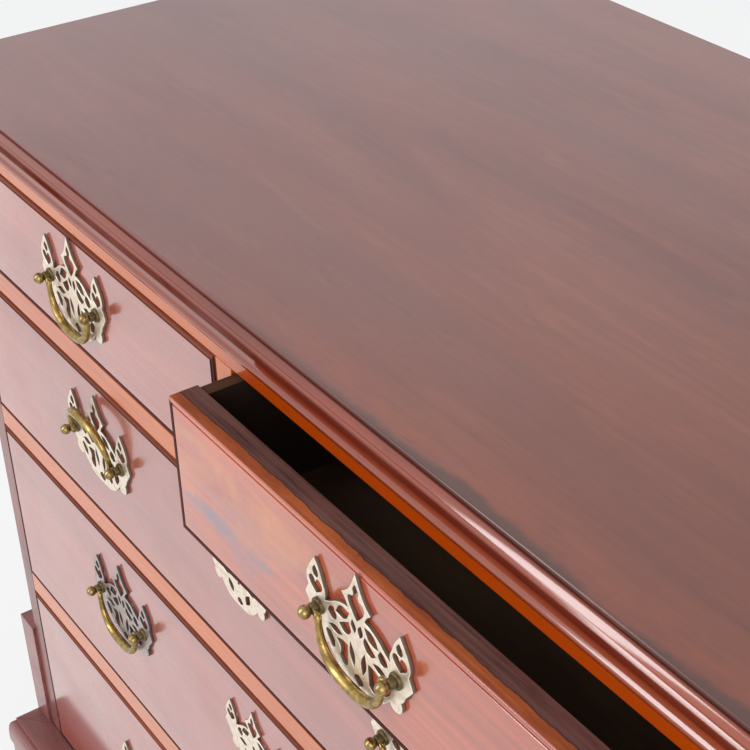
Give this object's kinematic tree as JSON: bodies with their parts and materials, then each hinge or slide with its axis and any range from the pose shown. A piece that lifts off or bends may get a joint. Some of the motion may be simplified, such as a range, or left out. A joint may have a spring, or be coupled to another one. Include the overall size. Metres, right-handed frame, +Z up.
{
  "type": "chest of drawers",
  "caption": "Straight-front mahogany chest of drawers with two short drawers over long ones, moulded top and base, bracket feet and pierced brass bail pulls.",
  "frame": {"origin": "middle of the footprint on the floor, in the pose with one short drawer a little open", "axes": "+X to the viewer's right along the front, +Y from the front to the back, +Z up"},
  "size_m": [0.992, 0.588, 0.903],
  "materials": {
    "mahogany_show": "gloss polish",
    "mahogany_top": "gloss polish",
    "mahogany_rail": "gloss polish",
    "drawer_lining": "bare, aged",
    "plain_softwood": "bare, aged",
    "brass_plate": "worn, pale patina",
    "brass_bail": "worn, olive patina"
  },
  "bodies": {
    "carcase": {"top_board": "mahogany_top", "top_moulding_front": "mahogany_show", "top_moulding_left": "mahogany_show", "top_moulding_right": "mahogany_show", "side_left": "mahogany_show", "side_right": "mahogany_show", "back_board": "plain_softwood", "bottom_board": "plain_softwood", "top_rail": "mahogany_rail", "rail_below_upper": "mahogany_rail", "rail_below_second": "mahogany_rail", "rail_below_third": "mahogany_rail", "centre_divider": "mahogany_rail", "centre_guide": "plain_softwood", "dust_panel_upper": "plain_softwood", "dust_panel_second": "plain_softwood", "dust_panel_third": "plain_softwood", "base_moulding_front": "mahogany_show", "base_moulding_left": "mahogany_show", "base_moulding_right": "mahogany_show", "plinth_board_left": "mahogany_show", "plinth_board_right": "mahogany_show", "foot_front_left": "mahogany_show", "foot_front_right": "mahogany_show", "foot_back_right": "mahogany_show", "foot_back_left": "mahogany_show"},
    "bail_upper_left": {"bail_upper_left": "brass_bail"},
    "drawer_upper_left": {"drawer_front_upper_left": "mahogany_show", "drawer_box_upper_left": "drawer_lining", "drawer_bottom_upper_left": "plain_softwood", "pull_plate_upper_left": "brass_plate"},
    "bail_upper_right": {"bail_upper_right": "brass_bail"},
    "drawer_upper_right": {"drawer_front_upper_right": "mahogany_show", "drawer_box_upper_right": "drawer_lining", "drawer_bottom_upper_right": "plain_softwood", "pull_plate_upper_right": "brass_plate"},
    "bail_second_left": {"bail_second_left": "brass_bail"},
    "bail_second_right": {"bail_second_right": "brass_bail"},
    "drawer_second": {"drawer_front_second": "mahogany_show", "drawer_box_second": "drawer_lining", "drawer_bottom_second": "plain_softwood", "pull_plate_second_left": "brass_plate", "pull_plate_second_right": "brass_plate", "escutcheon_second": "brass_plate"},
    "bail_third_left": {"bail_third_left": "brass_bail"},
    "bail_third_right": {"bail_third_right": "brass_bail"},
    "drawer_third": {"drawer_front_third": "mahogany_show", "drawer_box_third": "drawer_lining", "drawer_bottom_third": "plain_softwood", "pull_plate_third_left": "brass_plate", "pull_plate_third_right": "brass_plate", "escutcheon_third": "brass_plate"},
    "bail_lowest_left": {"bail_lowest_left": "brass_bail"},
    "bail_lowest_right": {"bail_lowest_right": "brass_bail"},
    "drawer_lowest": {"drawer_front_lowest": "mahogany_show", "drawer_box_lowest": "drawer_lining", "drawer_bottom_lowest": "plain_softwood", "pull_plate_lowest_left": "brass_plate", "pull_plate_lowest_right": "brass_plate", "escutcheon_lowest": "brass_plate"}
  },
  "joints": [
    {"name": "slide_upper_left", "type": "slide", "parent": "carcase", "child": "drawer_upper_left", "axis": [0, -1, 0], "range_m": [0, 0.35]},
    {"name": "slide_upper_right", "type": "slide", "parent": "carcase", "child": "drawer_upper_right", "axis": [0, -1, 0], "range_m": [-0.045, 0.305]},
    {"name": "slide_second", "type": "slide", "parent": "carcase", "child": "drawer_second", "axis": [0, -1, 0], "range_m": [0, 0.35]},
    {"name": "slide_third", "type": "slide", "parent": "carcase", "child": "drawer_third", "axis": [0, -1, 0], "range_m": [0, 0.35]},
    {"name": "slide_lowest", "type": "slide", "parent": "carcase", "child": "drawer_lowest", "axis": [0, -1, 0], "range_m": [0, 0.35]},
    {"name": "swing_upper_left", "type": "hinge", "parent": "drawer_upper_left", "child": "bail_upper_left", "pos_m": [-0.221, -0.2402, 0.796], "axis": [-1, 0, 0], "range_deg": [-2.5, 182.5]},
    {"name": "swing_upper_right", "type": "hinge", "parent": "drawer_upper_right", "child": "bail_upper_right", "pos_m": [0.221, -0.2852, 0.796], "axis": [-1, 0, 0], "range_deg": [-2.5, 182.5]},
    {"name": "swing_second_left", "type": "hinge", "parent": "drawer_second", "child": "bail_second_left", "pos_m": [-0.215, -0.2402, 0.66], "axis": [-1, 0, 0], "range_deg": [-172.5, 12.5]},
    {"name": "swing_second_right", "type": "hinge", "parent": "drawer_second", "child": "bail_second_right", "pos_m": [0.215, -0.2402, 0.66], "axis": [-1, 0, 0], "range_deg": [-2.5, 182.5]},
    {"name": "swing_third_left", "type": "hinge", "parent": "drawer_third", "child": "bail_third_left", "pos_m": [-0.215, -0.2402, 0.4905], "axis": [-1, 0, 0], "range_deg": [-2.5, 182.5]},
    {"name": "swing_third_right", "type": "hinge", "parent": "drawer_third", "child": "bail_third_right", "pos_m": [0.215, -0.2402, 0.4905], "axis": [-1, 0, 0], "range_deg": [-2.5, 182.5]},
    {"name": "swing_lowest_left", "type": "hinge", "parent": "drawer_lowest", "child": "bail_lowest_left", "pos_m": [-0.215, -0.2402, 0.2685], "axis": [-1, 0, 0], "range_deg": [-2.5, 182.5]},
    {"name": "swing_lowest_right", "type": "hinge", "parent": "drawer_lowest", "child": "bail_lowest_right", "pos_m": [0.215, -0.2402, 0.2685], "axis": [-1, 0, 0], "range_deg": [-2.5, 182.5]}
  ]
}
